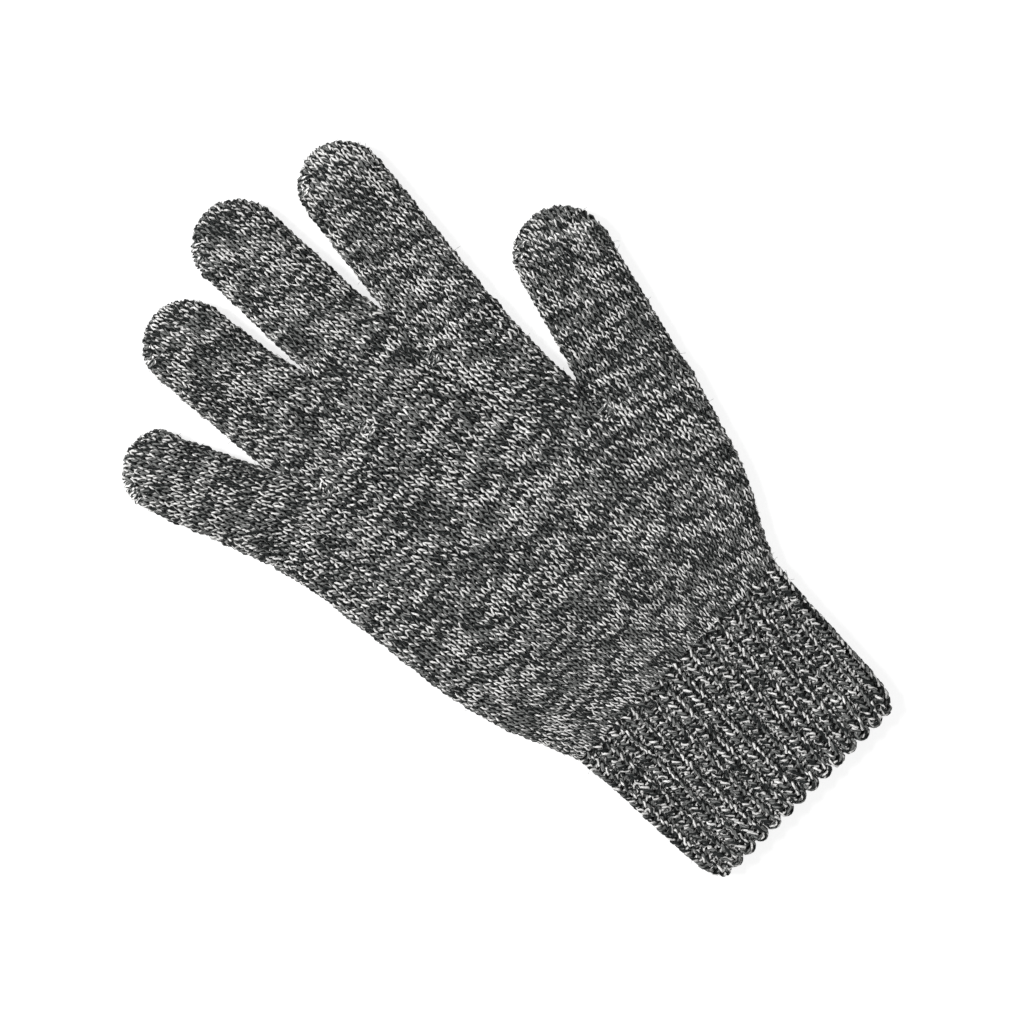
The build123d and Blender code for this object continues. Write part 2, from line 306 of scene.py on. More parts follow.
class Sheet:
    """A knitted sheet: a table of surface points, with evenly spaced wales.

    The table has per_course lines for each course, and inside says which of its points are fabric.
    """

    def __init__(self, points, wales, inside=None, per_course=1):
        self.points, self.wales, self.per_course = points, wales, per_course
        self.inside = np.ones(points.shape[:2], bool) if inside is None else inside
        self.normals = unit(np.cross(np.gradient(points, axis=1), np.gradient(points, axis=0)))
        self.pitch = np.linalg.norm(np.diff(points, axis=1), axis=-1).sum(axis=1) / wales

    def sample(self, table, course, wale):
        """A table's values at places given by course and wale."""
        rows, columns = self.points.shape[:2]
        x, y = wale / self.wales * (columns - 1), course * self.per_course
        i = np.clip(np.floor(y).astype(int), 0, rows - 2)
        j = np.clip(np.floor(x).astype(int), 0, columns - 2)
        f, g = (y - i)[..., None], (x - j)[..., None]
        low = table[i, j] * (1 - g) + table[i, j + 1] * g
        high = table[i + 1, j] * (1 - g) + table[i + 1, j + 1] * g
        return low * (1 - f) + high * f

    def holds(self, course, wale):
        """Whether places given by course and wale are fabric."""
        rows, columns = self.inside.shape
        i = np.clip(np.rint(course * self.per_course).astype(int), 0, rows - 1)
        j = np.clip(np.rint(wale / self.wales * (columns - 1)).astype(int), 0, columns - 1)
        return self.inside[i, j]


def raise_rows(plan, left_share, right_share):
    """Rows in plan become a curved sheet: each dips at its two sides, and has evenly spaced wales."""
    table = np.zeros((len(plan), COLUMNS, 3))
    for i, row in enumerate(plan):
        run = run_of(row)
        d = run[-1] * (1 - np.cos(np.linspace(0, np.pi, ROW_POINTS))) / 2
        x, y = np.interp(d, run, row[:, 0]), np.interp(d, run, row[:, 1])
        z = HALF * edge_height(d, left_share[i]) * edge_height(run[-1] - d, right_share[i])
        path = np.column_stack([x, y, z])
        at = run_of(path)
        even = np.linspace(0, at[-1], COLUMNS)
        table[i] = np.column_stack([np.interp(even, at, path[:, k]) for k in range(3)])
    return table


def half_row(reach, share):
    """The path of half a row, from the axis outwards: distance from the axis, height and run."""
    t = reach * np.sin(np.linspace(0, np.pi / 2, HALF_ROW_POINTS))
    z = HALF * edge_height(reach - t, share)
    return t, z, run_of(np.column_stack([t, z]))


def crossing(origin, direction, line):
    """Where a row meets a line: distance along the row, and share of the way up the line."""
    a, b = np.array(line[0], float), np.array(line[1], float)
    return np.linalg.solve(np.column_stack([direction, a - b]), a - origin)


def finger_row(finger, s, angle):
    """One row of a finger, turned by angle from square: its points, and which of them are fabric."""
    turn = np.array([[math.cos(angle), -math.sin(angle)], [math.sin(angle), math.cos(angle)]])
    across = turn @ finger.across
    natural = finger.half_width(s) / math.cos(angle)
    full = half_row(natural, 1)[2][-1]
    u = np.linspace(-1, 1, COLUMNS)
    row, kept = np.zeros((COLUMNS, 3)), np.zeros(COLUMNS, bool)
    for sign, crease in ((-1, finger.left), (1, finger.right)):
        reach, share = natural, 1.0
        if crease is not None:
            knot, crotch, parting = crease
            t, v = crossing(finger.place(s), across * sign, (knot, crotch))
            past = (v - 1) * np.linalg.norm(np.subtract(crotch, knot))
            free = np.clip(past / parting, 0, 1)
            cap = t - INSET * smooth(past / CREASE_INSET)
            reach = cap * (1 - free) + min(natural, cap) * free
            share = smooth(v)
        t, z, run = half_row(reach, share)
        mine = u * sign >= 0
        wanted = np.abs(u[mine]) * max(full, run[-1])
        out = np.interp(wanted, run, t)
        row[mine, :2] = finger.place(s) + out[:, None] * sign * across
        row[mine, 2] = np.interp(wanted, run, z) - np.clip(wanted - run[-1], 0, None)
        kept[mine] = wanted <= run[-1] + ROW_SLACK
    return row, kept


def tip_rows(finger, end):
    """The rows over a finger's round tip, after its last straight row."""
    radius = finger.half_width(finger.length)
    side = (end[:, :2] - finger.tip) @ finger.across
    flat = np.sqrt(np.clip((radius - EDGE_REACH) ** 2 - side**2, 0, None))
    most = np.sqrt(np.clip(radius**2 - side**2, 0, None))
    bend = np.linspace(0, np.pi / 2, BEND_POINTS)[:, None]
    out = flat + (most - flat) * np.sin(bend)
    height = end[:, 2] * np.cos(bend)
    steps = np.hypot(np.diff(out, axis=0), np.diff(height, axis=0))
    run = flat + np.vstack([np.zeros(COLUMNS), np.cumsum(steps, axis=0)])
    beyond = COURSE
    while beyond < run[-1].max() + COURSE:
        row = np.zeros((COLUMNS, 3))
        for k in range(COLUMNS):
            away = min(beyond, flat[k]) if beyond < flat[k] else np.interp(beyond, run[:, k], out[:, k])
            row[k, :2] = finger.tip + side[k] * finger.across + away * finger.along
            row[k, 2] = np.interp(beyond, run[:, k], height[:, k]) - max(beyond - run[-1, k], 0)
        yield row, beyond <= run[-1] + TIP_SLACK
        beyond += COURSE


def finger_sheet(finger):
    """A finger's palm side, from its first course on the hand to its tip, and where on its axis it starts."""
    first, last = np.array(finger.foot, float)
    foot_along = (last - first) / np.linalg.norm(last - first)
    start = crossing(finger.base, finger.along, (first, last))[0]
    lean = math.asin(foot_along[0] * finger.across[1] - foot_along[1] * finger.across[0])
    straight = int(round((finger.length - start) / COURSE))
    places = start + (finger.length - start) * np.arange(straight + 1) / straight
    rows = [finger_row(finger, s, -lean * (1 - smooth((s - start) / FOOT_TURN))) for s in places]
    rows += tip_rows(finger, rows[-1][0])
    points, inside = zip(*rows)
    return Sheet(np.array(points), finger.wales, np.array(inside)), start


def hand_sheets():
    """The palm below the thumb line, and the knuckle part from there to the fingers."""
    left = curve_through(shifted(HAND_LEFT, INSET), HAND_COURSES + 1)
    right = curve_through(shifted(HAND_RIGHT, -INSET), HAND_COURSES + 1)
    bottom = np.linspace(left[0], right[0], BORDER_POINTS)
    top = curve_through([left[-1], *THUMB_LINE, right[-1]], BORDER_POINTS)
    whole = np.ones(HAND_COURSES + 1)
    palm = Sheet(raise_rows(coons(bottom, top, left, right), whole, whole), HAND_WALES)

    knot = int(np.argmin(np.linalg.norm(top - KNOT_THUMB, axis=1)))
    bottom = curve_through(top[: knot + 1], BORDER_POINTS)
    left = curve_through(shifted(KNUCKLE_LEFT, INSET), KNUCKLE_COURSES + 1)
    right = curve_through([tuple(top[knot]), *shifted(KNUCKLE_RIGHT[1:], -INSET)], KNUCKLE_COURSES + 1)
    top = curve_through([left[-1], KNOT_LITTLE, KNOT_RING, KNOT_INDEX, right[-1]], BORDER_POINTS)
    knot, crotch, _ = CREASE_THUMB
    crease = smooth((right[:, 1] - knot[1]) / (crotch[1] - knot[1]))
    rows = raise_rows(coons(bottom, top, left, right), np.ones(KNUCKLE_COURSES + 1), crease)
    return palm, Sheet(rows, KNUCKLE_WALES)


def cuff_sheet():
    """The ribbed cuff, from its cast-on edge up to the wrist."""
    left = curve_through(shifted(CUFF_LEFT, INSET), CUFF_COURSES + 1)[::-1]
    right = curve_through(shifted(CUFF_RIGHT, -INSET), CUFF_COURSES + 1)[::-1]
    whole = np.ones(CUFF_COURSES + 1)
    points = raise_rows(np.linspace(left, right, CUFF_POINTS, axis=1), whole, whole)
    wale = np.linspace(0, CUFF_WALES, COLUMNS)
    bulge = SCALLOP * (0.5 - 0.5 * np.cos(np.pi * wale)) - SCALLOP_FOOT
    points[..., 1] -= bulge * (1 - smooth(np.arange(CUFF_COURSES + 1) / SCALLOP_COURSES))[:, None]
    return Sheet(points, CUFF_WALES)


def curled_edge(cuff):
    """The cuff's last courses, rolled round its edge and into the mouth."""
    edge, out = cuff.points[0], cuff.normals[0]
    down = unit(cuff.points[0] - cuff.points[1])
    rows = []
    for k in range(EDGE_COURSES * CURL_STEPS + 1):
        run = (EDGE_COURSES - k / CURL_STEPS) * RIB_COURSE
        turn = min(run / CURL, np.pi)
        inside = max(run - np.pi * CURL, 0)
        rows.append(edge + CURL * (np.sin(turn) * down - (1 - np.cos(turn)) * out) - inside * down)
    return Sheet(np.array(rows), CUFF_WALES, per_course=CURL_STEPS)


def phase(lower, upper):
    """How far the wales of the upper sheet move so that they carry on from the lower sheet's last course."""
    last = lower.points[-1][:, :2]
    kept = upper.inside[0]
    first = upper.points[0][kept][:, :2]
    near = np.argmin(np.linalg.norm(first[:, None] - last[None], axis=-1), axis=1)
    step = near / (COLUMNS - 1) * lower.wales - (np.arange(COLUMNS) / (COLUMNS - 1) * upper.wales)[kept]
    return float(np.angle(np.mean(np.exp(2j * np.pi * step))) / (2 * np.pi))


# ---------------------------------------------------------------- yarn meshes
def streaks(rows, wale):
    """How light the yarn is along each course: it changes slowly, as marl does."""
    knots = int(wale[-1] / STREAK) + 3
    values = 1 + rng.normal(0, STREAK_TONE, (rows, knots)) + rng.normal(0, STREAK_TONE * 0.5, (rows, 1))
    at = wale / STREAK + rng.uniform(0, 1, (rows, 1))
    k = np.clip(at.astype(int), 0, knots - 2)
    f = smooth(at - k)
    row = np.arange(rows)[:, None]
    return np.clip(values[row, k] * (1 - f) + values[row, k + 1] * f, *STREAK_LIMITS)


def widened(wale):
    """Wales of the rib, with the raised ones made wider and the furrows narrower."""
    return wale - RIB_SPREAD * np.sin(np.pi * wale) / np.pi


def quad_corners(u, low, high):
    """Map places of the four corners of each quad between one ring of a tube and the next."""
    here, there = np.s_[:, :-1], np.s_[:, 1:]
    corners = ((u[here], low[here]), (u[there], low[there]),
               (u[there], high[there]), (u[here], high[here]))
    return np.stack([np.stack(pair, axis=-1) for pair in corners], axis=-2)


class Weave:
    """Collects yarn, a sheet of painted shade under it, and fuzz, and makes one mesh object of them."""

    STRIP_LOW, STRIP_HIGH = 0.04, 0.998  # share of the OFBake map that holds the yarn, one strip to a row
    STRIP_MARGIN = 0.05  # empty share of each strip, on each side
    STRIP_END = 0.002  # empty share at each of its ends
    # the spot in the OFBake map for the sheet of painted shade under the yarn, and its size
    LINER_SPOT, LINER_SPOT_SIZE = (0.2, 0.012), 0.004

    def __init__(self):
        self.vertices, self.faces, self.shade = [], [], []
        self.yarn_uv, self.bake_uv = [], []
        self.count = 0
        self.strips = 0

    def add(self, vertices, faces, yarn_uv, bake_uv, shade, mirror):
        """Keep the vertices that the faces use; a mirrored part's faces turn round."""
        if mirror:
            faces, yarn_uv, bake_uv = faces[:, ::-1], yarn_uv[:, ::-1], bake_uv[:, ::-1]
        taken, faces = np.unique(faces, return_inverse=True)
        self.vertices.append(vertices.reshape(-1, 3)[taken])
        self.faces.append(faces.reshape(-1, 4) + self.count)
        self.yarn_uv.append(yarn_uv)
        self.bake_uv.append(bake_uv)
        self.shade.append(shade.reshape(-1)[taken])
        self.count += len(taken)

    def tubes(self, centre, up, radius, keep, length, tone_and_painted_shade, mirror=False, sides=YARN_SIDES):
        """Yarn along rows of centre points, as tubes; a mirrored part has its heights turned over."""
        if mirror:
            centre, up = centre * (1, 1, -1), up * (1, 1, -1)
        rows, n = centre.shape[:2]
        along = unit(np.gradient(centre, axis=1))
        side = unit(np.cross(along, up))
        over = np.cross(side, along)
        ring = np.arange(sides) * 2 * np.pi / sides
        keep_next = keep.copy()
        keep_next[:, 1:] &= keep[:, :-1]
        keep_next[:, :-1] &= keep[:, 1:]
        thick = radius * np.where(keep_next, 1.0, YARN_END)
        points = centre[:, :, None] + thick[..., None, None] * (
            np.cos(ring)[:, None] * side[:, :, None] + np.sin(ring)[:, None] * over[:, :, None])
        # painted shade: each tube is coloured darker on its underside, down to UNDER_SHADE
        face_out = np.sum((points - centre[:, :, None]) * up[:, :, None], axis=-1)
        lit = UNDER_SHADE + (1 - UNDER_SHADE) * smooth(0.5 + face_out / (2 * radius[..., None]))
        shade = tone_and_painted_shade[..., None] * lit
        index = np.arange(rows * n * sides).reshape(rows, n, sides)
        nxt = np.roll(index, -1, axis=2)
        faces = np.stack([index[:, :-1], index[:, 1:], nxt[:, 1:], nxt[:, :-1]], axis=-1)
        used = keep[:, :-1] & keep[:, 1:]
        shape = (rows, n, sides)
        low = np.broadcast_to(np.arange(sides), shape) / sides
        high = low + 1 / sides
        yarn_uv = quad_corners(np.broadcast_to(length[..., None], shape), low, high)
        share = np.broadcast_to(np.linspace(self.STRIP_END, 1 - self.STRIP_END, n)[None, :, None], shape)
        strip = np.broadcast_to(np.arange(rows)[:, None, None] + self.strips, shape)
        low, high = (strip + self.STRIP_MARGIN + (1 - 2 * self.STRIP_MARGIN) * m for m in (low, high))
        bake_uv = quad_corners(share, low, high)
        self.strips += rows
        self.add(points, faces[used].reshape(-1, 4), yarn_uv[used].reshape(-1, 4, 2),
                 bake_uv[used].reshape(-1, 4, 2), shade, mirror)

    def knit(self, sheet, first, last, mirror=False, shift=0.0, rib=False):
        """Rows of loops on a sheet, from course first up to course last."""
        wales, rows = sheet.wales, last - first
        turn = np.linspace(0, 2 * np.pi * wales, wales * LOOP_POINTS + 1)[None]
        course = np.arange(first, last)[:, None] + 0.5

        def wander(amount):
            """A value per half stitch, eased from one to the next."""
            values = rng.normal(0, amount, (rows, 2 * wales + 2))
            at = turn[0] / np.pi
            j = np.clip(at.astype(int), 0, 2 * wales)
            f = smooth(at - j)
            return values[:, j] * (1 - f) + values[:, j + 1] * f

        fade = 1 - smooth(course / SHIFT_FADE)
        wale = (turn + LOOP_LEAN * np.sin(2 * turn)) / (2 * np.pi)
        wale = wale + shift * fade + wander(WANDER_WALE)
        rise = course + LOOP_TALL * np.cos(turn) + wander(WANDER_COURSE)
        deep = -LOOP_DEEP * np.cos(2 * turn) * (1 + wander(WANDER_DEEP))
        if rib:
            raised = np.where(np.rint(turn / (2 * np.pi)) % 2 == 1, 1.0, -1.0)
            deep = raised * (RIB_RISE + deep)
            wale = widened(wale)
        normals = unit(sheet.sample(sheet.normals, rise, wale))
        edge = 1 - np.abs(normals[..., 2])
        out = deep + wander(WANDER_OUT)
        out = out + edge * (wander(SIDE_WANDER) + rng.normal(*SIDE_OUT, (rows, 1)))
        centre = sheet.sample(sheet.points, rise, wale) + normals * out[..., None]
        keep = sheet.holds(rise, wale)
        lines = np.arange(len(sheet.pitch))
        pitch = np.interp(course * sheet.per_course, lines, sheet.pitch)
        stout = RIB_STOUT if rib else 1
        radius = YARN * np.clip(pitch / WALE, THINNEST, 1) * (1 + wander(WANDER_RADIUS)) * stout
        length = turn / (2 * np.pi) * LOOP_LENGTH + rng.uniform(0, YARN_RUN, (rows, 1))
        # painted shade: the yarn is coloured darker where it lies deeper; the streaks are the yarn's own tone
        most = RIB_RISE + LOOP_DEEP if rib else LOOP_DEEP
        dark = RIB_SHADE if rib else DEEP_SHADE
        tone_and_painted_shade = dark + (1 - dark) * smooth((deep + most) / (2 * most) * SHADE_RISE)
        tone_and_painted_shade = tone_and_painted_shade * streaks(rows, turn[0] / (2 * np.pi))
        self.tubes(centre, normals, radius, keep, length, tone_and_painted_shade, mirror)

    def wrap(self, sheet, mirror=False):
        """Yarn along the rolled edge of the cuff, in one smooth arc over the end of each rib."""
        rows = len(WRAPS)
        wale = np.linspace(0, sheet.wales, sheet.wales * LOOP_POINTS + 1)[None]
        sway = WRAP_SWAY * np.sin(np.pi * wale + rng.uniform(0, 6, (rows, 1)))
        turn = np.pi / 2 + np.array(WRAPS)[:, None] + sway
        course = EDGE_COURSES - turn * CURL / RIB_COURSE
        out = WRAP_OUT - WRAP_RISE * np.cos(np.pi * np.broadcast_to(wale, turn.shape))
        wale = np.broadcast_to(widened(wale), turn.shape)
        normals = unit(sheet.sample(sheet.normals, course, wale))
        centre = sheet.sample(sheet.points, course, wale) + normals * out[..., None]
        length = run_of(centre[0])[None] + rng.uniform(0, YARN_RUN, (rows, 1))
        # painted shade: the edge's yarn is coloured darker in the furrows
        tone_and_painted_shade = WRAP_SHADE + (1 - WRAP_SHADE) * smooth(0.5 + out / WRAP_RISE / 2)
        tone_and_painted_shade = tone_and_painted_shade * streaks(rows, wale[0])
        radius, keep = np.full(out.shape, YARN), np.ones(out.shape, bool)
        self.tubes(centre, normals, radius, keep, length, tone_and_painted_shade, mirror)

    def strand(self, points, radius):
        """One piece of yarn along a few points, its outer side away from the middle layer."""
        points = curve_through(points, 4 * len(points))[None]
        up = np.zeros(points.shape)
        up[..., 2] = np.where(points[..., 2] < 0, -1, 1)
        shape = points.shape[:2]
        length = run_of(points[0])[None] + rng.uniform(0, YARN_RUN)
        tone_and_painted_shade = np.full(shape, STRAND_TONE)
        self.tubes(points, up, np.full(shape, radius), np.ones(shape, bool), length, tone_and_painted_shade)

    def fuzz(self, sheet, first, last, mirror=False):
        """Loose fibres that stand a little off the yarn."""
        count = int((last - first) * sheet.wales * HAIRS)
        course, wale = rng.uniform(first, last, count), rng.uniform(0, sheet.wales, count)
        kept = sheet.holds(course, wale)
        course, wale = course[kept], wale[kept]
        normal = unit(sheet.sample(sheet.normals, course, wale))
        start = sheet.sample(sheet.points, course, wale) + normal * (LOOP_DEEP * HAIR_ROOT)
        heading = unit(rng.normal(0, 1, normal.shape) + normal * HAIR_RISE)
        bend = rng.normal(0, HAIR_BEND, normal.shape) - normal * HAIR_BEND
        reach = rng.uniform(*HAIR_REACH, (len(start), 1, 1))
        t = np.linspace(0, 1, HAIR_POINTS)[None, :, None]
        centre = start[:, None] + reach * (heading[:, None] * t + bend[:, None] * t**2)
        deepest = HALF + LOOP_DEEP + YARN
        highest = deepest if mirror else deepest + HAIR_TOP
        centre[..., 2] = np.clip(centre[..., 2], -deepest, highest)
        up = unit(np.cross(heading, rng.normal(0, 1, heading.shape)))
        up = np.broadcast_to(up[:, None], centre.shape)
        shape = centre.shape[:2]
        length = np.broadcast_to(rng.uniform(0, YARN_RUN, (shape[0], 1)), shape)
        tone_and_painted_shade = np.broadcast_to(rng.uniform(*HAIR_TONES, (shape[0], 1)), shape)
        radius, keep = np.full(shape, HAIR), np.ones(shape, bool)
        self.tubes(centre, up, radius, keep, length, tone_and_painted_shade, mirror, HAIR_SIDES)

    def line(self, sheet, first, last, mirror=False, rib=False):
        """A sheet under the yarn, coloured with painted shade, for the inside of the fabric."""
        columns = slice(0, None, SHADE_SHEET_STEP)
        points = (sheet.points - SHADE_SHEET_DEPTH * sheet.normals)[first:last + 1, columns]
        kept = sheet.inside[first:last + 1, columns]
        if mirror:
            points = points * (1, 1, -1)
        rows, n = kept.shape
        index = np.arange(rows * n).reshape(rows, n)
        faces = np.stack([index[:-1, :-1], index[:-1, 1:], index[1:, 1:], index[1:, :-1]], axis=-1)
        used = kept[:-1, :-1] & kept[:-1, 1:] & kept[1:, 1:] & kept[1:, :-1]
        faces = faces[used].reshape(-1, 4)
        size = self.LINER_SPOT_SIZE
        spot = np.array(self.LINER_SPOT) + np.array([(0, 0), (size, 0), (size, size), (0, size)])
        yarn_uv = np.zeros((len(faces), 4, 2))
        # painted shade: the sheet keeps only a small share of the yarn's colour
        shade = np.full(rows * n, RIB_PAINTED_SHADE_UNDER_YARN if rib else PAINTED_SHADE_UNDER_YARN)
        self.add(points, faces, yarn_uv, np.broadcast_to(spot, yarn_uv.shape), shade, mirror)

    def build(self, name, material):
        """The mesh object, in metres."""
        vertices = np.concatenate(self.vertices)
        vertices[:, 2] += MIDDLE + CUFF_LIFT * smooth((WRIST_FOLD - vertices[:, 1]) / CUFF_LIFT_RUN)
        faces = np.concatenate(self.faces)
        bake_uv = np.concatenate(self.bake_uv)
        in_strip = bake_uv[..., 1].max(axis=1) > self.LINER_SPOT[1] + 2 * self.LINER_SPOT_SIZE
        scale = (self.STRIP_HIGH - self.STRIP_LOW) / max(self.strips, 1)
        bake_uv[in_strip, :, 1] = self.STRIP_LOW + bake_uv[in_strip, :, 1] * scale
        mesh = bpy.data.meshes.new(name)
        mesh.vertices.add(len(vertices))
        mesh.vertices.foreach_set("co", (vertices * MM).astype(np.float32).ravel())
        mesh.loops.add(faces.size)
        mesh.loops.foreach_set("vertex_index", faces.astype(np.int32).ravel())
        mesh.polygons.add(len(faces))
        mesh.polygons.foreach_set("loop_start", np.arange(0, faces.size, 4, dtype=np.int32))
        for layer, values in (("Yarn", np.concatenate(self.yarn_uv)), ("OFBake", bake_uv)):
            mesh.uv_layers.new(name=layer).data.foreach_set("uv", values.astype(np.float32).ravel())
        # the shade attribute: painted shade, times the yarn's own tone
        shade = np.concatenate(self.shade).astype(np.float32)
        mesh.attributes.new("shade", "FLOAT", "POINT").data.foreach_set("value", shade)
        mesh.update(calc_edges=True)
        mesh.shade_smooth()
        mesh.materials.append(material)
        piece = bpy.data.objects.new(name, mesh)
        bpy.context.scene.collection.objects.link(piece)
        return piece


# ---------------------------------------------------------------- materials
PALE = (0.78, 0.775, 0.76)  # the colour of each ply, and the painted shade in the grooves between
MIDDLING = (0.19, 0.195, 0.19)
CHARCOAL = (0.023, 0.026, 0.026)
# painted shade: the grooves between the plies are coloured near black
GROOVE_SHADE = (0.005, 0.006, 0.006)
PLIES = [(0.0, PALE), (0.13, PALE), (0.22, GROOVE_SHADE), (0.33, MIDDLING), (0.48, MIDDLING), (0.57, GROOVE_SHADE),
         (0.66, CHARCOAL), (0.80, CHARCOAL), (0.87, GROOVE_SHADE), (0.96, PALE)]  # colours once round the yarn, with painted shade at the grooves
TWIST = 4.02  # length of one turn of the plies
SLOW_DRIFT = (0.014, 3.0)  # how often and how far the twist speeds up and slows down
FAST_DRIFT = (0.36, 1.35)
FIBRE_SCALE = 1.5  # how fine the fibres are, and how much finer round the yarn than along it
FIBRES_ROUND = 7.0
FIBRE_BLUR = 0.16  # how much the fibres stray from one ply into the next
FIBRE_TONE = 1.9  # how much single fibres differ in tone
SLUB_SCALE = 0.05  # how often the yarn's tone drifts, and how far
SLUB_TONE = 0.5
TONE = 0.94  # how light the yarn is, as a share of its colours
PLY_RELIEF = 0.12  # millimetres
FIBRE_RELIEF = 1.5  # relief of the fibres, in reliefs of the plies


def set_inputs(made, values):
    """Set a node's inputs, by name or number."""
    for key, value in values.items():
        made.inputs[key].default_value = value


def node(tree, kind, inputs=None, **settings):
    """A new node with some settings and inputs."""
    made = tree.nodes.new(kind)
    for key, value in settings.items():
        setattr(made, key, value)
    set_inputs(made, inputs or {})
    return made


def marl_yarn(name):
    """Two charcoal plies and one pale ply, twisted together, with fine fibres, and painted shade in their
    grooves and from the mesh's shade attribute.
    """
    material = bpy.data.materials.new(name)
    material.use_nodes = True
    tree = material.node_tree
    tree.nodes.clear()
    link = tree.links.new

    def maths(operation, a, b=None):
        made = node(tree, "ShaderNodeMath", operation=operation)
        for k, value in enumerate((a, b)):
            if isinstance(value, (int, float)):
                made.inputs[k].default_value = value
            elif value is not None:
                link(value, made.inputs[k])
        return made.outputs[0]

    def noise(scale, detail=2.0, around=None):
        place = node(tree, "ShaderNodeCombineXYZ")
        link(along, place.inputs[0])
        if around is not None:
            link(around, place.inputs[1])
        made = node(tree, "ShaderNodeTexNoise", {"Scale": scale, "Detail": detail}, noise_dimensions="2D")
        link(place.outputs[0], made.inputs["Vector"])
        return made.outputs[0]

    def scaled(colour, by):
        made = node(tree, "ShaderNodeVectorMath", operation="SCALE")
        link(colour, made.inputs[0])
        link(by, made.inputs["Scale"])
        return made.outputs[0]

    where = node(tree, "ShaderNodeUVMap", uv_map="Yarn")
    split = node(tree, "ShaderNodeSeparateXYZ")
    link(where.outputs[0], split.inputs[0])
    along, around = split.outputs[0], split.outputs[1]
    slow, fast = (maths("MULTIPLY", noise(scale), reach) for scale, reach in (SLOW_DRIFT, FAST_DRIFT))
    turned = maths("SUBTRACT", around, maths("DIVIDE", along, TWIST))
    twist = maths("ADD", turned, maths("ADD", slow, fast))
    fibre = maths("SUBTRACT", noise(FIBRE_SCALE, 3.0, maths("MULTIPLY", twist, FIBRES_ROUND)), 0.5)
    ply = maths("FRACT", maths("ADD", twist, maths("MULTIPLY", fibre, FIBRE_BLUR)))
    ramp = node(tree, "ShaderNodeValToRGB")
    while len(ramp.color_ramp.elements) < len(PLIES):
        ramp.color_ramp.elements.new(0.5)
    for stop, (place, value) in zip(ramp.color_ramp.elements, PLIES):
        stop.position = place
        stop.color = (*value, 1)
    link(ply, ramp.inputs[0])
    slub = maths("SUBTRACT", noise(SLUB_SCALE, 3.0), 0.5)
    tone = maths("ADD", TONE, maths("MULTIPLY", slub, SLUB_TONE))
    tone = maths("ADD", tone, maths("MULTIPLY", fibre, FIBRE_TONE))
    # the mesh's shade attribute: painted shade, times the yarn's own tone
    shade = node(tree, "ShaderNodeAttribute", attribute_name="shade")
    colour = scaled(scaled(ramp.outputs[0], tone), shade.outputs["Fac"])
    groove = maths("ABSOLUTE", maths("COSINE", maths("MULTIPLY", twist, 3 * math.pi)))
    bump = node(tree, "ShaderNodeBump", {"Strength": 0.6, "Distance": PLY_RELIEF * MM})
    link(maths("ADD", groove, maths("MULTIPLY", fibre, FIBRE_RELIEF)), bump.inputs["Height"])
    shader = node(tree, "ShaderNodeBsdfPrincipled", {
        "Roughness": 0.88, "Specular IOR Level": 0.08, "Sheen Weight": 0.04, "Sheen Roughness": 0.5})
    link(colour, shader.inputs["Base Color"])
    link(bump.outputs[0], shader.inputs["Normal"])
    out = node(tree, "ShaderNodeOutputMaterial")
    link(shader.outputs[0], out.inputs[0])
    return material


jersey = marl_yarn("marl_jersey")
rib_yarn = marl_yarn("marl_rib")
edge_yarn = marl_yarn("marl_edge")
closing = marl_yarn("closing_yarn")


# ---------------------------------------------------------------- the glove
def knitted(name, material, parts, sides=(False, True), wrapped=False):
    """One piece of fabric from parts (sheet, first, last, options): palm side, then mirrored to the back."""
    weave = Weave()
    for mirror in sides:
        for sheet, first, last, options in parts:
            weave.knit(sheet, first, last, mirror=mirror, **options)
            weave.line(sheet, first, last, mirror=mirror, rib=options.get("rib", False))
            weave.fuzz(sheet, first, last, mirror=mirror)
            if wrapped:
                weave.wrap(sheet, mirror)
    return weave.build(name, material)


def crotch_join(name, knot, along, node_name):
    """The few loops of yarn that gather a crotch between two fingers, on the palm side and the back."""
    weave = Weave()
    along = unit(np.array(along, float))
    across = np.array([along[1], -along[0]])
    for side in (1, -1):
        for k in range(CROTCH_LOOPS):
            middle = np.array(knot) + along * (k * CROTCH_PITCH - CROTCH_START)
            middle = middle + rng.normal(0, CROTCH_SCATTER, 2)
            reach = rng.uniform(*CROTCH_REACH)
            slant = rng.uniform(-CROTCH_SLANT, CROTCH_SLANT)
            points = []
            for t in (-1, -0.6, 0, 0.6, 1):
                place = middle + across * reach * t + along * slant * t
                points.append((*place, side * (HALF + CROTCH_RISE - CROTCH_DIP * t * t)))
            weave.strand(points, YARN * CROTCH_STRAND)
    piece = weave.build(name, closing)
    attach(piece, "hand")
    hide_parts(node_name)


def tip_closure(name, finger, node_name):
    """The loops of closing yarn over the rim of a fingertip, to one side of its middle."""
    weave = Weave()
    radius = finger.half_width(finger.length)
    for k in range(TIP_LOOPS):
        angle = math.radians(TIP_ANGLE) + (k - (TIP_LOOPS - 1) / 2) * TIP_PITCH / radius
        out = math.cos(angle) * finger.across + math.sin(angle) * finger.along
        bend = np.linspace(-TIP_BEND, TIP_BEND, TIP_POINTS) + rng.uniform(-TIP_SCATTER, TIP_SCATTER)
        reach, tall = EDGE_REACH + rng.uniform(*TIP_REACH), HALF + rng.uniform(*TIP_RISE)
        slant = np.array([-out[1], out[0]]) * rng.uniform(-TIP_SLANT, TIP_SLANT)
        points = []
        for b in bend:
            place = finger.tip + out * (radius - EDGE_REACH + reach * math.cos(b)) + slant * b
            points.append((*place, tall * math.sin(b)))
        weave.strand(points, YARN * TIP_STRAND)
    piece = weave.build(name, closing)
    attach(piece, f"{finger.body}_end")
    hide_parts(node_name)


def bend_between(piece, first, second, start, end):
    """Bakes the piece's placement into its mesh; the bodies first and second and the places start and end are
    not used.
    """
    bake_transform(piece)


palm, knuckles = hand_sheets()
cuff = cuff_sheet()
knuckle_shift = phase(palm, knuckles)

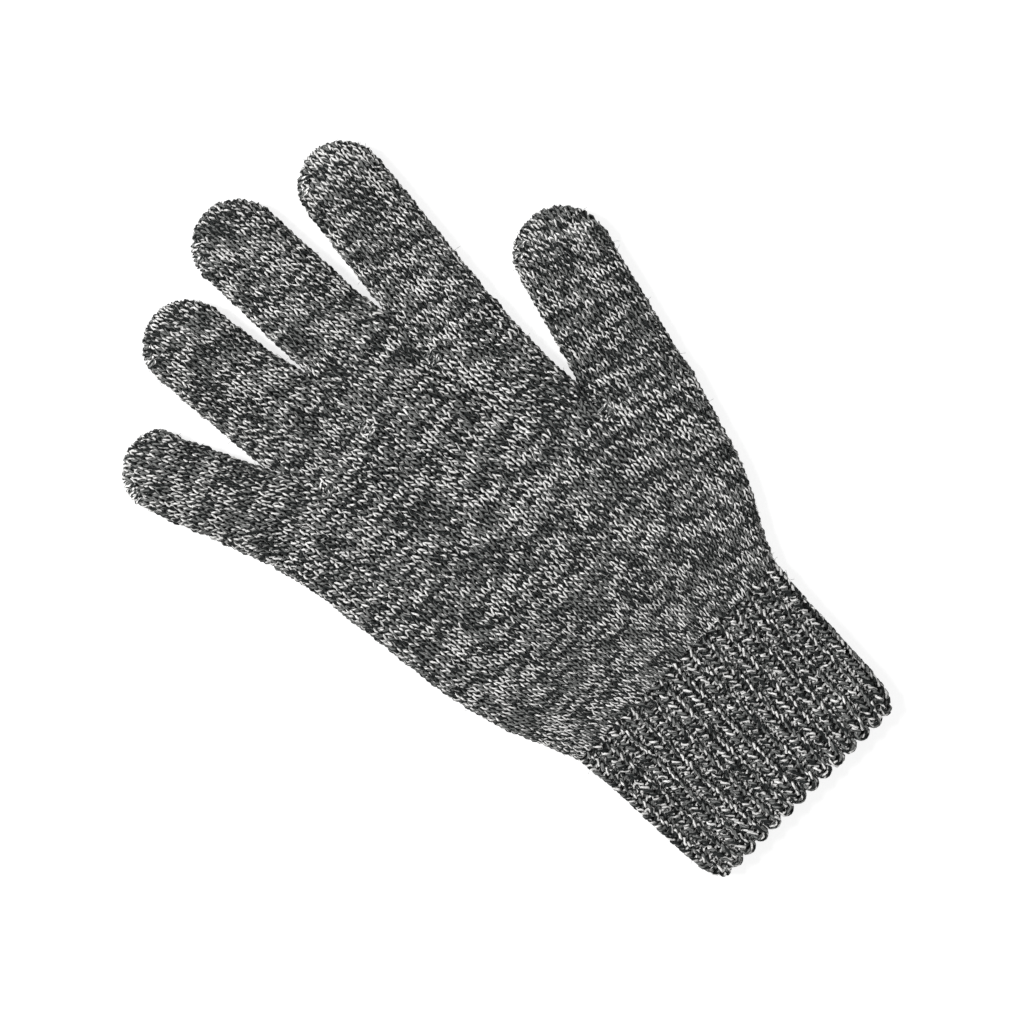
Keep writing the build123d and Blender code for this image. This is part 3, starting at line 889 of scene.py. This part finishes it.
for side, mirror in (("front", False), ("back", True)):
    for name, part in ((f"palm_{side}", (palm, WRIST_HAND_COURSES, HAND_COURSES, {})),
                       (f"knuckles_{side}", (knuckles, 0, KNUCKLE_COURSES, {"shift": knuckle_shift}))):
        piece = knitted(name, jersey, [part], sides=(mirror,))
        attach(piece, "hand")
        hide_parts("palm")

wrist = knitted("wrist", jersey, [
    (palm, 0, WRIST_HAND_COURSES, {}),
    (cuff, CUFF_COURSES - WRIST_CUFF_COURSES, CUFF_COURSES, {"rib": True})])
bend_between(wrist, "hand", "cuff", *((0, y) for y in WRIST_BEND))
ribs = knitted("ribs", rib_yarn, [(cuff, 0, CUFF_COURSES - WRIST_CUFF_COURSES, {"rib": True})])
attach(ribs, "cuff")
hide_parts("rib_cuff")
rolled = curled_edge(cuff)
edge = knitted("cast_on_edge", edge_yarn, [(rolled, 0, EDGE_COURSES, {"rib": True})],
               wrapped=True)
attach(edge, "cuff")
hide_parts("cuff_edge")

for finger in FINGERS:
    sheet, start = finger_sheet(finger)
    options = {"shift": phase(palm if finger.name == "thumb" else knuckles, sheet)}
    split, last = int(round((finger.split - start) / COURSE)), len(sheet.points) - 1
    base = knitted(f"{finger.body}_base", jersey, [(sheet, 0, split, options)])
    top = knitted(f"{finger.body}_top", jersey, [(sheet, split, last, options)])
    knuckle, middle = finger.folds
    reach = min(knuckle - start, finger.split - knuckle)
    bend_between(base, "hand", f"{finger.body}_lower",
                 finger.place(knuckle - reach), finger.place(knuckle + reach))
    reach = middle - finger.split
    bend_between(top, f"{finger.body}_lower", f"{finger.body}_end",
                 finger.place(middle - reach), finger.place(middle + reach))
    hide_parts(f"{finger.name}_lower")
    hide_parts(f"{finger.name}_end")
    tip_closure(f"{finger.body}_closing_loops", finger, f"{finger.name}_tip_closure")

crotch_join("index_middle_loops", KNOT_INDEX, (0, 1), "index_middle_join")
crotch_join("middle_ring_loops", KNOT_RING, (-0.07, 1), "middle_ring_join")
crotch_join("ring_little_loops", KNOT_LITTLE, (-0.38, 1), "ring_little_join")
crotch_join("thumb_loops", KNOT_THUMB, (0, 1), "thumb_join")


# ---------------------------------------------------------------- room, light and camera, in metres
FLOOR_SIZE = 12.0
FLOOR_GLOW = 0.76  # the floor's own light, which keeps it white
SKY_LIGHT = 0.32
LIGHTS = [("key", (-0.7, 0.9, 1.3), 0.5, 28.0), ("fill", (0.7, -0.3, 1.4), 1.0, 5.0)]  # place, size and power
AIM = (0, 0.067, 0)
LENS = 110  # millimetres, as the sensor
SENSOR = 36
SHOWN = 307.2 * MM  # side of the square that the camera shows at the glove's height
CAMERA_SHIFT = (-1.2 * MM, -3.4 * MM)  # from the middle of the glove


def make_floor():
    """A plain pale floor."""
    mesh = bpy.data.meshes.new("floor")
    size = FLOOR_SIZE
    corners = [(-size, -size, 0), (size, -size, 0), (size, size, 0), (-size, size, 0)]
    mesh.from_pydata(corners, [], [(0, 1, 2, 3)])
    floor = bpy.data.objects.new("floor", mesh)
    bpy.context.scene.collection.objects.link(floor)
    material = bpy.data.materials.new("pale_floor")
    material.use_nodes = True
    set_inputs(material.node_tree.nodes["Principled BSDF"], {
        "Base Color": (0.4, 0.4, 0.4, 1), "Roughness": 0.9,
        "Emission Color": (1, 1, 1, 1), "Emission Strength": FLOOR_GLOW})
    mesh.materials.append(material)


def make_light():
    """Soft light from the sky, which looks white itself, and two lamps."""
    world = bpy.data.worlds.new("studio")
    world.use_nodes = True
    tree = world.node_tree
    soft = tree.nodes["Background"]
    set_inputs(soft, {0: (1, 1, 1, 1), 1: SKY_LIGHT})
    seen = node(tree, "ShaderNodeBackground", {0: (1, 1, 1, 1), 1: 1.0})
    path, mix = node(tree, "ShaderNodeLightPath"), node(tree, "ShaderNodeMixShader")
    tree.links.new(path.outputs["Is Camera Ray"], mix.inputs[0])
    tree.links.new(soft.outputs[0], mix.inputs[1])
    tree.links.new(seen.outputs[0], mix.inputs[2])
    tree.links.new(mix.outputs[0], tree.nodes["World Output"].inputs[0])
    bpy.context.scene.world = world
    for name, place, size, power in LIGHTS:
        light = bpy.data.lights.new(name, "AREA")
        light.size = size
        light.energy = power
        lamp = bpy.data.objects.new(name, light)
        lamp.location = place
        aim = np.array(AIM) - np.array(place)
        tilt = math.acos(-aim[2] / np.linalg.norm(aim))
        lamp.rotation_euler = (tilt, 0, math.atan2(aim[1], aim[0]) - math.pi / 2)
        bpy.context.scene.collection.objects.link(lamp)


def make_camera():
    """A long lens straight above, turned so that the glove points to the upper left."""
    x, y = ((low + high) / 2 + by for low, high, by in zip(*cad_box, CAMERA_SHIFT))
    data = bpy.data.cameras.new("camera")
    data.lens = LENS
    data.sensor_width = SENSOR
    camera = bpy.data.objects.new("camera", data)
    camera.location = (x, y, SHOWN * LENS / SENSOR + MIDDLE * MM)
    camera.rotation_euler = (0, 0, math.radians(-45))
    bpy.context.scene.collection.objects.link(camera)
    bpy.context.scene.camera = camera


make_floor()
make_light()
make_camera()
bpy.context.scene.view_settings.view_transform = "Standard"
